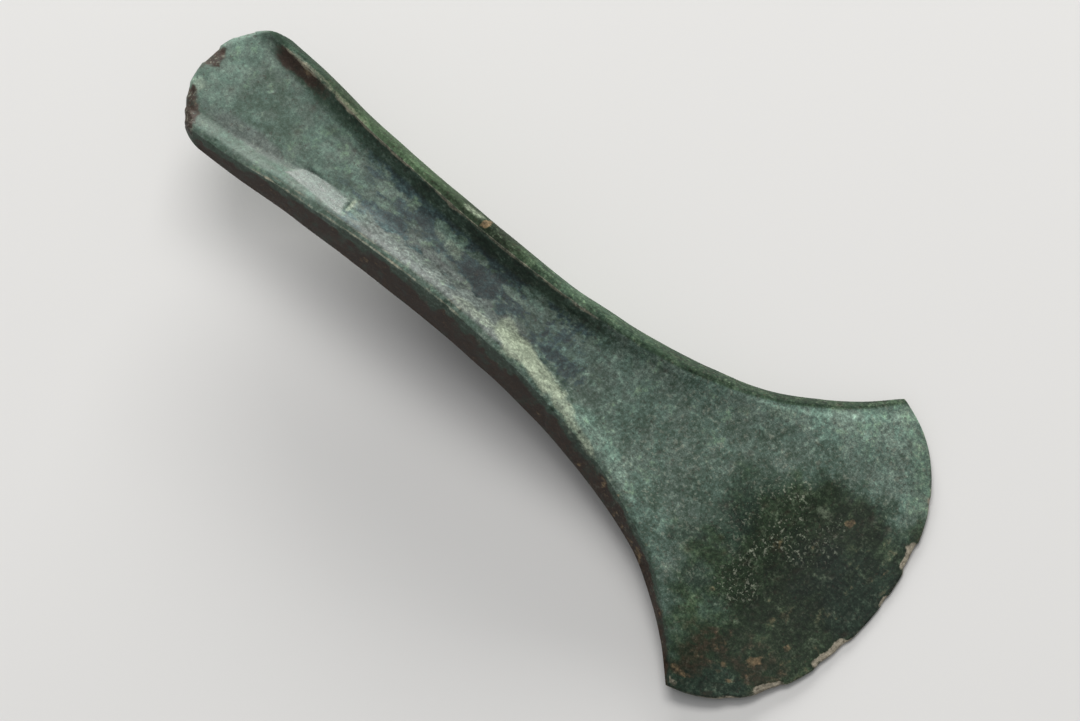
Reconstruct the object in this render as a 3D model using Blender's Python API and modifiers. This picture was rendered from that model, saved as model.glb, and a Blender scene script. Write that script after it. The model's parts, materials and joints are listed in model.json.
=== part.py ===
"""A flanged (tanged) bronze axe head, one solid casting, lying on its side.

The casting has a rounded butt, a slender body with a high flange along each side of
both faces, and a widely splayed blade with a half-round cutting edge. One quarter of
its skin is lofted from the cross-sections in SECTIONS, then mirrored across the width
and the thickness, and the old chips are cut out of the butt and the cutting edge.

The casting has its own axes: X runs from the butt to the cutting edge, Y across the
width and Z through the thickness, with Z = 0 on its middle plane. A parent empty lays
it down in world space, on the crests of its two lower flanges and its cutting edge,
with the bottom centre of its box at the world's origin.
"""

import math

import bpy
import numpy as np

MM = 0.001  # metres in a millimetre; the sizes below are millimetres

# Outline
LENGTH = 200.0  # from the butt to the middle of the cutting edge
BUTT_ROUND = 12.8  # length of the half-ellipse that ends the butt
CORNER_STATION = 174.3  # where the sides meet the cutting edge
EDGE_BULGE_HALF = 43.9  # half width of the superellipse that the cutting edge follows
EDGE_BULGE_LENGTH = 35.1  # how far that superellipse reaches forward
EDGE_BULGE_POWER = 2.25  # 2 would be an ellipse; more flattens the middle

# Cross-sections, each at a station measured from the butt along the side's keel:
# station, half width, inset of the side bevel, width of the crest's flat land,
# height of the flange's crest above the middle plane, half width of the flat seat.
SECTIONS = (
    (12.8, 16.8, 1.5, 0.9, 3.7, 8.4),
    (26.0, 16.0, 1.85, 1.0, 5.7, 6.6),
    (38.0, 15.0, 2.3, 1.1, 7.6, 4.8),
    (50.0, 14.45, 2.85, 1.3, 9.3, 3.1),
    (64.0, 14.05, 3.4, 1.4, 11.1, 2.1),
    (80.0, 13.75, 3.7, 1.5, 12.1, 1.9),
    (96.0, 14.0, 3.5, 1.4, 11.9, 2.4),
    (112.0, 15.3, 3.2, 1.2, 9.75, 4.2),
    (124.5, 17.15, 2.85, 1.0, 7.95, 6.4),
    (137.0, 20.15, 2.3, 0.9, 6.4, 8.6),
    (149.0, 24.3, 1.75, 0.6, 5.0, 11.0),
    (159.0, 30.0, 1.3, 0.5, 3.8, 13.5),
    (167.0, 35.9, 0.9, 0.4, 2.8, 16.0),
    (CORNER_STATION, 42.9, 0.4, 0.3, 0.9, 18.0),
)

# Web: its half thickness at stations measured from the butt. It is thickest under the
# waist and runs out into the blade.
WEB = (
    (0.0, 2.2),
    (26.0, 3.8),
    (50.0, 5.2),
    (64.0, 5.9),
    (80.0, 6.5),
    (96.0, 6.6),
    (112.0, 6.4),
    (124.5, 5.9),
    (138.0, 5.3),
)
TROUGH_CURVE = 2.0  # how late the trough's wall rises from the flat seat
CREST_ROUNDING = 1.6  # how softly the wall rolls over into the crest
BEVEL_CURVE = 0.85  # below 1 the side bevels bulge

# Ends: half thickness left at distances back from the cutting edge, as a share of
# the web's, and the radii of the two ends
BLADE_TAPER = ((0.0, 0.058), (6.0, 0.215), (16.0, 0.43), (36.0, 0.755), (62.0, 1.0))
BUTT_RADIUS = 2.2
EDGE_RADIUS = 0.5
END_FADE = 3  # how fast the ends' curved rows straighten towards the middle

# Mesh density of the quarter
BUTT_ROWS = 5
BODY_ROWS = 52
EDGE_ROWS = 7
EDGE_ROW_BAND = 12.0  # the rows are closer over this distance from the cutting edge
SEAT_COLUMNS = 2
WALL_COLUMNS = 7
BEVEL_COLUMNS = 4
MERGE = 0.00001  # metres

# Old damage: name, station, offset across, size along, size across, size through,
# turn about the thickness in degrees. Stations past an end bite into that end.
CHIPS = (
    ("butt_chip_middle", -0.55, 2.2, 2.4, 5.6, 8.0, 4.0),
    ("butt_chip_side", 3.0, -11.4, 2.2, 7.0, 8.0, 41.0),
    ("edge_chip_upper", 199.5, 13.8, 2.4, 8.6, 6.0, 13.0),
    ("edge_chip_long", 199.5, -13.7, 2.4, 10.0, 6.0, -13.0),
    ("edge_chip_lower", 193.3, -30.1, 2.0, 5.4, 6.0, -41.0),
    ("corner_chip", 175.4, -43.9, 3.0, 3.8, 6.0, -30.0),
)

BRONZE_GREEN = (0.075, 0.115, 0.092, 1.0)


def clear_scene():
    for thing in list(bpy.data.objects):
        bpy.data.objects.remove(thing, do_unlink=True)


def new_collection(name):
    collection = bpy.data.collections.new(name)
    bpy.context.scene.collection.children.link(collection)
    return collection


def patina():
    """Dull green bronze."""
    material = bpy.data.materials.new("bronze_patina")
    material.use_nodes = True
    shader = material.node_tree.nodes["Principled BSDF"]
    shader.inputs["Base Color"].default_value = BRONZE_GREEN
    shader.inputs["Metallic"].default_value = 0.35
    shader.inputs["Roughness"].default_value = 0.55
    return material


def monotone_curve(knots, values, at):
    """A smooth curve through the knots that never overshoots them, read at `at`."""
    knots = np.asarray(knots, float)
    values = np.asarray(values, float)
    steps = np.diff(knots)
    slopes = np.diff(values) / steps
    tangents = np.empty_like(values)
    tangents[0] = slopes[0]
    tangents[-1] = slopes[-1]
    before = slopes[:-1]
    after = slopes[1:]
    same_way = before * after > 0
    mean = np.where(same_way, 2 * before * after / np.where(same_way, before + after, 1), 0)
    tangents[1:-1] = mean
    at = np.clip(at, knots[0], knots[-1])
    piece = np.clip(np.searchsorted(knots, at) - 1, 0, len(steps) - 1)
    width = steps[piece]
    t = (at - knots[piece]) / width
    return (
        values[piece] * (1 + 2 * t) * (1 - t) ** 2
        + values[piece + 1] * (3 - 2 * t) * t**2
        + tangents[piece] * width * t * (1 - t) ** 2
        - tangents[piece + 1] * width * (1 - t) * t**2
    )


def section_at(station):
    """The cross-section's sizes, in SECTIONS' order, at one keel station."""
    table = np.array(SECTIONS)
    return [monotone_curve(table[:, 0], sizes, station) for sizes in table.T[1:]]


def butt_line(across):
    """Station of the butt's half-ellipse, for a share of the half width."""
    return BUTT_ROUND * (1 - np.sqrt(1 - across**2))


def edge_line(across):
    """Station of the cutting edge's superellipse, for a share of the half width."""
    corner_half = SECTIONS[-1][1]
    reach = (across * corner_half / EDGE_BULGE_HALF) ** EDGE_BULGE_POWER
    return LENGTH - EDGE_BULGE_LENGTH * (1 - (1 - reach) ** (1 / EDGE_BULGE_POWER))


def station_of(along, across):
    """Station of a row `along` (0 at the butt, 1 at the cutting edge). Rows follow
    the curve of the nearer end and are straight in the middle."""
    from_butt = butt_line(across) * (1 - along) ** END_FADE
    from_edge = (LENGTH - edge_line(across)) * along**END_FADE
    return LENGTH * along + from_butt - from_edge


def rounded_end(distance, radius):
    """0 at an end, rising as a quarter circle to 1 at `radius` from it."""
    return np.sqrt(1 - (1 - np.clip(distance / radius, 0, 1)) ** 2)


def row_positions():
    """Rows along the casting, closer together at the rounded butt and the edge."""
    turn = np.linspace(0, math.pi / 2, BUTT_ROWS)
    butt = BUTT_RADIUS * (1 - np.cos(turn)) / LENGTH
    tip = np.linspace(0, math.pi / 2, 3)[:-1]
    edge_tip = 1 - EDGE_RADIUS * (1 - np.cos(tip)) / LENGTH
    edge_band = 1 - np.linspace(EDGE_RADIUS, EDGE_ROW_BAND, EDGE_ROWS) / LENGTH
    body = np.linspace(butt[-1], edge_band[-1], BODY_ROWS)
    return np.concatenate([butt[:-1], body, edge_band[-2::-1], edge_tip[::-1]])


def column_positions(half_width, bevel, land, seat):
    """Offsets across one row: the flat seat, the trough's wall, the land, the bevel."""
    outer_arris = half_width - bevel
    flat = np.linspace(0, seat, SEAT_COLUMNS + 1)
    wall = np.linspace(seat, outer_arris - land, WALL_COLUMNS + 1)
    side = np.linspace(outer_arris, half_width, BEVEL_COLUMNS + 1)
    return np.concatenate([flat, wall[1:], side])


def web_at(along, station):
    """Half thickness of the web at a station, thinned towards the cutting edge."""
    stations, heights = zip(*WEB)
    distances, shares = zip(*BLADE_TAPER)
    web = monotone_curve(stations, heights, station)
    return web * monotone_curve(distances, shares, LENGTH * (1 - along))


def height_of(along, station, offset, section):
    """Height above the middle plane of points `offset` from the centre line."""
    half_width, bevel, land, crest, seat = section
    web = web_at(along, station)
    climb = np.clip((offset - seat) / (half_width - bevel - land - seat), 0, 1)
    face = web + (crest - web) * (1 - (1 - climb**TROUGH_CURVE) ** CREST_ROUNDING)
    side = crest * np.clip((half_width - offset) / bevel, 0, 1) ** BEVEL_CURVE
    body = np.where(offset > half_width - bevel, side, face)
    butt = rounded_end(LENGTH * along, BUTT_RADIUS)
    edge = rounded_end(LENGTH * (1 - along), EDGE_RADIUS)
    return body * butt * edge


def quarter_skin():
    """Grid of points, in metres, over the quarter with Y and Z above zero."""
    rows = []
    for along in row_positions():
        section = section_at(station_of(along, 1.0))
        half_width, bevel, land, _, seat = section
        offset = column_positions(half_width, bevel, land, seat)
        station = station_of(along, offset / half_width)
        height = height_of(along, station, offset, section)
        rows.append(np.stack([station, offset, height], axis=1))
    return np.array(rows) * MM


def casting(collection, pose):
    grid = quarter_skin()
    row_count, column_count, _ = grid.shape
    index = np.arange(row_count * column_count).reshape(row_count, column_count)
    corners = (index[:-1, :-1], index[1:, :-1], index[1:, 1:], index[:-1, 1:])
    quads = np.stack([c.ravel() for c in corners], axis=1)
    mesh = bpy.data.meshes.new("axe_head")
    mesh.from_pydata(grid.reshape(-1, 3).tolist(), [], quads.tolist())
    mesh.materials.append(patina())
    mesh.shade_smooth()
    mesh.set_sharp_from_angle(angle=math.radians(40))
    head = bpy.data.objects.new("axe_head", mesh)
    head.parent = pose
    collection.objects.link(head)
    mirror = head.modifiers.new("both_sides_and_faces", "MIRROR")
    mirror.use_axis = (False, True, True)
    mirror.merge_threshold = MERGE
    return head


def chip_cutter(collection, pose, head, chip):
    """A rough lump that bites a chip out of the casting."""
    name, station, offset, along, across, through, turn = chip
    bpy.ops.mesh.primitive_ico_sphere_add(subdivisions=2, radius=0.5)
    cutter = bpy.context.object
    cutter.name = name
    for home in list(cutter.users_collection):
        home.objects.unlink(cutter)
    collection.objects.link(cutter)
    cutter.parent = pose
    cutter.location = (station * MM, offset * MM, 0)
    cutter.rotation_euler = (0.3, 0.2, math.radians(turn))
    cutter.scale = (along * MM, across * MM, through * MM)
    cutter.hide_render = True
    cutter.display_type = "WIRE"
    bite = head.modifiers.new(name, "BOOLEAN")
    bite.operation = "DIFFERENCE"
    bite.solver = "EXACT"
    bite.object = cutter


def balance_station(grid):
    """Station of the casting's centre of mass, from the quarter's grid."""
    station, offset, height = np.moveaxis(grid, 2, 0)
    edge_a = grid[1:, :-1, :2] - grid[:-1, :-1, :2]
    edge_b = grid[:-1, 1:, :2] - grid[:-1, :-1, :2]
    area = np.abs(edge_a[..., 0] * edge_b[..., 1] - edge_a[..., 1] * edge_b[..., 0])
    weight = area * height[:-1, :-1]
    return float((weight * station[:-1, :-1]).sum() / weight.sum())


def lying_pose(collection):
    """An empty that lays the casting down, tilted as it comes to rest: of all tilts,
    the one that brings its balance point lowest."""
    grid = quarter_skin()
    station = grid[:, :, 0].ravel()
    height = grid[:, :, 2].ravel()
    balance = balance_station(grid)
    tilts = np.linspace(0, math.radians(12), 1201)[:, None]
    below = height * np.cos(tilts) + (station - balance) * np.sin(tilts)
    tilt = float(tilts[np.argmin(below.max(axis=1)), 0])
    front = station * math.cos(tilt) + height * math.sin(tilt)
    back = station * math.cos(tilt) - height * math.sin(tilt)
    ground = station * math.sin(tilt) + height * math.cos(tilt)
    pose = bpy.data.objects.new("lying_pose", None)
    pose.rotation_euler = (0, tilt, 0)
    pose.location = (-(front.max() + back.min()) / 2, 0, ground.max())
    collection.objects.link(pose)
    return pose


def main():
    clear_scene()
    parts = new_collection("flanged_axe_head")
    cutters = new_collection("cutters")
    pose = lying_pose(parts)
    head = casting(parts, pose)
    for chip in CHIPS:
        chip_cutter(cutters, pose, head, chip)


main()
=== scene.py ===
"""An old flanged bronze axe head, lying on a pale floor.

The head is one closed skin made of two grids, one for each face, that share their
border ring. It is worked out in millimetres in the casting's own axes: the station runs
from the butt to the cutting edge, the offset runs across the width and the height is
measured from the middle plane. The skin is then laid down in the frame's place and
painted with a layered patina, driven by masks that are kept on its points.
"""

import json
import math
from types import SimpleNamespace

import bpy
import numpy as np
from bpy.props import FloatProperty, FloatVectorProperty, PointerProperty
from bpy.types import Operator, Panel, PropertyGroup
from mathutils import Matrix, Vector


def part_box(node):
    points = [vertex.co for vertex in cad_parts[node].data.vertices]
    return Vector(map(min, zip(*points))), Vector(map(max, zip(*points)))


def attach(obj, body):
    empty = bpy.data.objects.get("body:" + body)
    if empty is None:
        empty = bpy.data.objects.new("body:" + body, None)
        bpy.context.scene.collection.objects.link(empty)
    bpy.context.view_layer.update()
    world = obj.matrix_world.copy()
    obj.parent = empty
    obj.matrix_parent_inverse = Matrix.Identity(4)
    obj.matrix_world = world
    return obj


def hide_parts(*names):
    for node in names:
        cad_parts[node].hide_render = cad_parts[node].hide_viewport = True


bl_info = {
    "name": "Flanged Bronze Axe Head",
    "version": (1, 0, 0),
    "blender": (4, 5, 0),
    "location": "3D View > Sidebar > Axe Head",
    "description": "A patinated flanged bronze axe head and the stage it lies on",
    "category": "Object",
}

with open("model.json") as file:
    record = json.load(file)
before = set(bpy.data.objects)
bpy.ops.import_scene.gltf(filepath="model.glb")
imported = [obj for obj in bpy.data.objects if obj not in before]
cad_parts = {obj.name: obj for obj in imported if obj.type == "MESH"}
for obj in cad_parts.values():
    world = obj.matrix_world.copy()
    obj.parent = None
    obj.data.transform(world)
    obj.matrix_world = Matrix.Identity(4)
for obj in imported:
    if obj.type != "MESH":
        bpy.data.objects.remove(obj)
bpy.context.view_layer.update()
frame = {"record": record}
MM = 0.001

# The casting's form, in millimetres.
LENGTH = 200.0
BUTT_ROUND = 12.8
CORNER_STATION = 174.3
EDGE_BULGE_HALF = 43.9
EDGE_BULGE_LENGTH = 35.1
EDGE_BULGE_POWER = 2.25
END_FADE = 3

# Station, half width, side bevel, land on the crest, crest height, half width of the seat.
SECTIONS = (
    (12.8, 16.8, 1.5, 0.9, 3.7, 11),
    (26, 16, 1.85, 1, 5.7, 8.8),
    (38, 15, 2.3, 1.1, 7.6, 6.2),
    (50, 14.45, 2.85, 1.3, 9.3, 3.8),
    (64, 14.05, 3.4, 1.4, 11.1, 2.1),
    (80, 13.75, 3.7, 1.5, 12.1, 1.9),
    (96, 14, 3.5, 1.4, 11.9, 2.4),
    (112, 15.3, 3.2, 1.2, 9.75, 4.2),
    (124.5, 17.15, 2.85, 1, 7.95, 6.4),
    (137, 20.15, 1.9, 0.8, 6.4, 8.6),
    (149, 24.3, 1.15, 0.5, 5, 11),
    (159, 30, 0.75, 0.4, 3.8, 13.5),
    (167, 35.9, 0.5, 0.3, 2.8, 16),
    (CORNER_STATION, 42.9, 0.25, 0.2, 0.9, 18),
)

# Station and half thickness of the web.
WEB = (
    (0, 2.2),
    (26, 3.8),
    (50, 5.2),
    (64, 5.9),
    (80, 6.5),
    (96, 6.6),
    (112, 6.4),
    (124.5, 5.9),
    (138, 5.3),
)
LOWER_CURVE = 2.0
UPPER_CURVE = 3.0
BEVEL_CURVE = 0.85
UPPER_FLANK_CURVE = 1.5

# Distance back from the cutting edge and the share of the web's thickness left there.
BLADE_TAPER = ((0, 0.058), (6, 0.215), (16, 0.43), (36, 0.755), (62, 1))
BUTT_RADIUS = 2.2
EDGE_RADIUS = 0.35

# The grid: rows along the casting, columns over half its width.
BUTT_ROWS = 9
BODY_ROWS = 386
EDGE_BAND = 9.0
EDGE_BAND_ROWS = 30
EDGE_TIP_ROWS = 4
SEAT_COLUMNS = 13
WALL_COLUMNS = 24
LAND_COLUMNS = 5
BEVEL_COLUMNS = 14

# Old damage on the cutting edge: middle and half length across, depth, width of the
# broken slope behind it.
EDGE_CHIPS = (
    (14.8, 3.4, 0.6, 1.4),
    (16.3, 1.5, 0.6, 2.1),
    (-13.5, 4.7, 0.5, 1.9),
    (-28.3, 2.6, 0.7, 1.9),
    (-36, 1.2, 0.3, 0.6),
    (3.2, 1.5, 0.25, 0.8),
    (27.5, 1.1, 0.2, 0.7),
)

# Old damage on the butt, told in the same way.
BUTT_CHIPS = (
    (2.1, 2.5, 0.45, 3),
    (-10.6, 3.9, 0.6, 2.6),
    (10.8, 1.6, 0.3, 1.4),
)

# Half the width of a chip's side, how much its line wanders, and how far from the end the
# casting gives way to it.
CHIP_SIDE = 0.5
CHIP_WANDER = 0.35
CHIP_REACH = 7.0

# Dents (below zero) and flakes (above zero) on the upper face: station, offset, radius
# along, radius across, height and, where it has one, a turn in degrees.
MARKS = (
    (54.4, 9.7, 0.8, 1.3, -0.45, 20), (81.8, -9.7, 1.1, 0.9, -0.4),
    (104.6, 8.9, 2.3, 0.9, 0.3, 12), (102.2, 9.2, 0.9, 0.7, -0.3),
    (130.8, 13.7, 2.6, 1.1, 0.16, 14), (114.8, -12.4, 1.7, 1.1, 0.34, -8),
    (76.9, 11.2, 2.3, 1.5, 0.3), (49.1, -6.3, 0.5, 1.8, -0.12, 10),
    (19.1, -3.5, 1.5, 0.7, 0.12, -20), (21.3, 12.4, 1.3, 0.7, -0.2),
    (146.5, -20.6, 1.4, 0.9, -0.25, -35), (153.5, -25.4, 1.2, 0.8, -0.3, -40),
    (162, -32.4, 1.3, 0.8, -0.25, -48), (163, -9.6, 4.2, 1.3, -0.16, 8),
    (172, 8.6, 2.1, 1.2, -0.1, 30),
)

# The hammered flat on the lower flange's inner slope: its corners in plan.
FLAT_CORNERS = ((32.6, -8.8), (49.2, -9.3), (48.6, -4.3), (35.8, -4.4))
FLAT_RISE = 0.22

# Heights in the worn surface, beside those that may be changed, and the share of the
# height that is missing at the end of a broken slope.
GRAIN_HEIGHT = 0.018
RIPPLE_HEIGHT = 0.05
NICK_DEPTH = 0.16
BROKEN_ROUGHNESS = 0.10
BROKEN_DROP = 0.18

# The station of the two haft seats, and how sharp an edge has to be to look sharp.
SEAT_STATION = 60.0
SHARP_ANGLE = math.radians(50)


def rounding_property(name, description, default):
    """How round a shoulder is."""
    return FloatProperty(name=name, description=description, default=default, min=1.0, max=3.0)


def depth_property(name, description, default, most):
    """A small length, from 0 to `most` metres."""
    return FloatProperty(
        name=name,
        description=description,
        default=default,
        min=0.0,
        max=most,
        unit="LENGTH",
        precision=5,
    )


class AxeHeadForm(PropertyGroup):
    """Sizes of the casting that may be changed."""

    upper_rounding: rounding_property(
        "Upper Flange Rounding", "How round the upper flange's inner shoulder is; 1 is sharp", 1.25
    )
    lower_rounding: rounding_property(
        "Lower Flange Rounding", "How round the lower flange's inner shoulder is; 1 is sharp", 2.3
    )
    hammering: depth_property(
        "Hammering", "Height of the shallow waves left by the hammer", 0.0001, 0.0005
    )
    pitting: depth_property("Pitting", "Depth of the corrosion pits", 0.00012, 0.0004)
    outline_waver: depth_property(
        "Outline Waver", "How far the outline wanders from its smooth curve", 0.00022, 0.0006
    )


def colour_property(name, description, default):
    """A colour that may be changed."""
    return FloatVectorProperty(
        name=name, description=description, default=default, subtype="COLOR", min=0.0, max=1.0
    )


class AxeHeadColours(PropertyGroup):
    """Colours of the patina and the stage that may be changed."""

    patina: colour_property("Patina", "Main grey-green of the patina", (0.082, 0.116, 0.094))
    teal: colour_property("Teal", "Greener clouds of the patina", (0.074, 0.12, 0.095))
    # This grey lies mostly over the painted highlight strip along the lower flange's inner slope.
    grey: colour_property("Grey", "Grey film along the lower flange", (0.1, 0.113, 0.106))
    blue: colour_property("Blue", "Slate patches in the trough", (0.05, 0.092, 0.094))
    film: colour_property("Film", "Yellow-green film by the waist", (0.265, 0.31, 0.225))
    olive: colour_property("Olive", "Olive green of the flange's side", (0.07, 0.118, 0.062))
    deep: colour_property("Deep", "Deep green of the darker patches", (0.064, 0.12, 0.078))
    # On the lower flange's side this dark brown also serves as painted shade.
    earth: colour_property("Earth", "Dark brown of the bare sides", (0.036, 0.024, 0.017))
    ochre: colour_property("Ochre", "Tan and orange corrosion spots", (0.17, 0.122, 0.068))
    chalk: colour_property("Chalk", "Cream of the chipped edges", (0.285, 0.255, 0.195))
    rim: colour_property("Rim", "Worn lines along the flanges' crests", (0.205, 0.19, 0.14))
    fleck: colour_property("Fleck", "Pale flecks on the blade", (0.2, 0.215, 0.165))
    floor: colour_property("Floor", "Pale floor", (0.66, 0.655, 0.645))


def ease(low, high, value):
    """0 below `low`, 1 above `high`, and 3t^2 - 2t^3 between them."""
    t = np.clip((value - low) / (high - low), 0, 1)
    return t * t * (3 - 2 * t)


def stretch(value, start, full, fading, end):
    """1 from `full` to `fading`, 0 before `start` and past `end`, smooth between them."""
    return ease(start, full, value) * ease(end, fading, value)


def stripe(distance, half, core):
    """A soft line: 1 within `core` of it and 0 farther away than `half`."""
    return ease(half, core, np.abs(distance))


def strongest(*fields):
    """The largest of several fields at each point."""
    return np.maximum.reduce(fields)


# Large odd numbers that scatter the lattice, the number of 32-bit words, and a shift that
# keeps the lattice's coordinates above zero.
ODD = (374761393, 668265263, 2246822519, 3266489917)
WORDS = 2**32
LATTICE_SHIFT = 1000.0

# A turn that takes no axis to an axis, and a gain that brings the sum of several layers
# back to about -1 to 1.
TURNED = np.array(((0.8, 0.36, 0.48), (-0.6, 0.48, 0.64), (0.0, -0.8, 0.6)))
LAYERED_GAIN = 1.6


def hashed(x, y, z, seed):
    """A number from 0 to 1 for each lattice point: its whole coordinates are multiplied
    by large odd numbers, then mixed by shifts, all in 32 bits."""
    mixed = np.uint32(seed * ODD[3] % WORDS)
    for axis, odd in zip((x, y, z), ODD):
        mixed = mixed ^ axis.astype(np.uint32) * np.uint32(odd)
    for shift, odd in ((15, ODD[2]), (13, ODD[3])):
        mixed = (mixed ^ (mixed >> np.uint32(shift))) * np.uint32(odd)
    mixed = mixed ^ (mixed >> np.uint32(16))
    return mixed.astype(np.float64) / (WORDS - 1)


def lattice_noise(points, size, seed):
    """Smooth noise from -1 to 1: random values on a lattice of the given cell size,
    joined by the quintic 6t^5 - 15t^4 + 10t^3 along each axis."""
    place = points / size + LATTICE_SHIFT
    cell = np.floor(place).astype(np.int64)
    t = place - cell
    t *= t * t * (t * (t * 6 - 15) + 10)
    total = np.zeros(points.shape[:-1])
    for dx, dy, dz in np.ndindex(2, 2, 2):
        share = np.abs(1 - dx - t[..., 0]) * np.abs(1 - dy - t[..., 1])
        share *= np.abs(1 - dz - t[..., 2])
        total += share * hashed(cell[..., 0] + dx, cell[..., 1] + dy, cell[..., 2] + dz, seed)
    return total * 2 - 1


def layered_noise(points, size, seed, layers=4, gain=0.5):
    """Noise summed over `layers`, each half as large, `gain` as strong and turned."""
    total = np.zeros(points.shape[:-1])
    strength = 1.0
    weight = 0.0
    for layer in range(layers):
        total += strength * lattice_noise(points, size, seed + layer)
        weight += strength
        points = points @ TURNED.T
        size *= 0.5
        strength *= gain
    return total / weight * LAYERED_GAIN


def cell_noise(points, size, seed):
    """Distance to the nearest of one random point in each lattice cell, in cells, and a
    random number from 0 to 1 that belongs to that point."""
    place = points / size + LATTICE_SHIFT
    cell = np.floor(place).astype(np.int64)
    nearest = np.full(points.shape[:-1], 9.0)
    owner = np.zeros(points.shape[:-1])
    for step in np.ndindex(3, 3, 3):
        x, y, z = (cell[..., axis] + step[axis] - 1 for axis in range(3))
        seat = np.stack([hashed(x, y, z, seed + axis) for axis in range(3)], axis=-1)
        home = np.stack([x, y, z], axis=-1) + seat
        distance = np.linalg.norm(place - home, axis=-1)
        closer = distance < nearest
        nearest = np.where(closer, distance, nearest)
        owner = np.where(closer, hashed(x, y, z, seed + 7), owner)
    return nearest, owner


def monotone_curve(knots, values, at):
    """A smooth curve through the knots that never overshoots them, read at `at`: a cubic
    in each span, whose slope at a knot is the harmonic mean of the slopes beside it."""
    knots = np.asarray(knots, float)
    values = np.asarray(values, float)
    steps = np.diff(knots)
    slopes = np.diff(values) / steps
    before = slopes[:-1]
    after = slopes[1:]
    same_way = before * after > 0
    mean = np.where(same_way, 2 * before * after / np.where(same_way, before + after, 1), 0)
    tangents = np.concatenate([slopes[:1], mean, slopes[-1:]])
    at = np.clip(at, knots[0], knots[-1])
    piece = np.clip(np.searchsorted(knots, at) - 1, 0, len(steps) - 1)
    width = steps[piece]
    t = (at - knots[piece]) / width
    return (
        values[piece] * (1 + 2 * t) * (1 - t) ** 2
        + values[piece + 1] * (3 - 2 * t) * t**2
        + tangents[piece] * width * t * (1 - t) ** 2
        - tangents[piece + 1] * width * (1 - t) * t**2
    )


def rounded_end(distance, radius):
    """0 at an end, rising as a quarter circle to 1 at `radius` from it."""
    return np.sqrt(1 - (1 - np.clip(distance / radius, 0, 1)) ** 2)


def row_shares():
    """Share of the length at each row: even along the body, closer at both ends."""
    butt = BUTT_RADIUS * (1 - np.cos(np.linspace(0, math.pi / 2, BUTT_ROWS)))
    tip = EDGE_RADIUS * (1 - np.cos(np.linspace(0, math.pi / 2, EDGE_TIP_ROWS)))
    band = np.linspace(EDGE_RADIUS, EDGE_BAND, EDGE_BAND_ROWS)
    body = np.linspace(butt[-1], LENGTH - EDGE_BAND, BODY_ROWS)
    rows = [butt[:-1], body, LENGTH - band[-2::-1], LENGTH - tip[-2::-1]]
    return np.concatenate(rows) / LENGTH


def butt_line(share):
    """Station of the butt's half-ellipse, for a share of the half width."""
    return BUTT_ROUND * (1 - np.sqrt(np.clip(1 - share**2, 0, 1)))


def edge_line(share):
    """Station of the cutting edge's superellipse, for a share of the half width."""
    reach = (np.abs(share) * SECTIONS[-1][1] / EDGE_BULGE_HALF) ** EDGE_BULGE_POWER
    return LENGTH - EDGE_BULGE_LENGTH * (1 - (1 - reach) ** (1 / EDGE_BULGE_POWER))


def lengthwise(share_along, share_across):
    """The station of a point: even along the casting, and bent to the butt's line and to
    the edge's line with a weight that fades quickly away from each end."""
    return (
        LENGTH * share_along
        + butt_line(share_across) * (1 - share_along) ** END_FADE
        - (LENGTH - edge_line(share_across)) * share_along**END_FADE
    )


def half_columns(form, side, curve, rounding):
    """One half of every row. Returns the offset from the centre line, the height of the
    upper face at full thickness as a climb from 0 (web) to 1 (crest), the bevel's fall
    from 1 to 0, and the profile: 0 to 1 over the seat, 2 at the wall's top, 3 at the
    land's outer arris and 4 on the border ring."""
    half_width, bevel, land, _, seat = (size[:, None] for size in form)
    wall_top = half_width - bevel - land
    spans = (
        (0 * seat, seat, np.linspace(0, 1, SEAT_COLUMNS + 1)),
        (seat, wall_top - seat, np.linspace(0, 1, WALL_COLUMNS + 1)[1:]),
        (wall_top, land, np.linspace(0, 1, LAND_COLUMNS + 1)[1:]),
        (wall_top + land, bevel, np.sin(np.linspace(0, math.pi / 2, BEVEL_COLUMNS + 1))[1:]),
    )
    offset = np.concatenate([start + width * share for start, width, share in spans], axis=1)
    steps = np.concatenate([number + span[2] for number, span in enumerate(spans)])
    profile = steps + 0 * offset
    climb = 1 - (1 - np.clip(profile - 1, 0, 1) ** curve) ** rounding
    flank = 1.0 if side < 0 else UPPER_FLANK_CURVE
    fall = (1 - np.clip(profile - 3, 0, 1) ** flank) ** BEVEL_CURVE
    if side < 0:
        return tuple(part[:, ::-1] for part in (-offset, climb, fall, profile))
    return tuple(part[:, 1:] for part in (offset, climb, fall, profile))


def plane_noise(x, z, *settings):
    """Layered noise that is read in a plane, at x and z."""
    return layered_noise(np.stack([x, 0 * x, z + 0 * x], axis=-1), *settings)


def bites(offset, chips, seed):
    """How far a line of chips cuts into an end, and how wide its broken slope is, at each
    offset: every chip is a flat-bottomed notch with short sides and a ragged floor."""
    ragged = plane_noise(offset, 0, 1.6, seed, 3, 0.6)
    depth = np.zeros_like(offset)
    slope = np.zeros_like(offset)
    for middle, half, deep, wide in chips:
        away = np.abs(offset - middle) + ragged * CHIP_WANDER
        inside = ease(half + CHIP_SIDE, half - CHIP_SIDE, away)
        depth = np.maximum(depth, deep * inside * (1 + 0.45 * ragged))
        slope = np.maximum(slope, wide * inside * (1 + 0.3 * ragged))
    return depth, slope


def flat_spot(station, offset, height):
    """The hammered flat and its share: inside its four corners the height is that of the
    plane through the surface there, raised a little, with a crisp border."""
    corners = np.array(FLAT_CORNERS)
    inside = np.full(station.shape, 99.0)
    for start, end in zip(corners, np.roll(corners, -1, axis=0)):
        run = end - start
        out = (station - start[0]) * -run[1] + (offset - start[1]) * run[0]
        inside = np.minimum(inside, out / np.hypot(*run))
    within = inside > -0.4
    terms = np.stack([station[within], offset[within], np.ones(within.sum())], axis=1)
    plane = np.linalg.lstsq(terms, height[within], rcond=None)[0]
    level = plane[0] * station + plane[1] * offset + plane[2] + FLAT_RISE
    share = ease(-0.25, 0.3, inside)
    return height + share * np.clip(level - height, -0.5, 0.5), share


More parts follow.
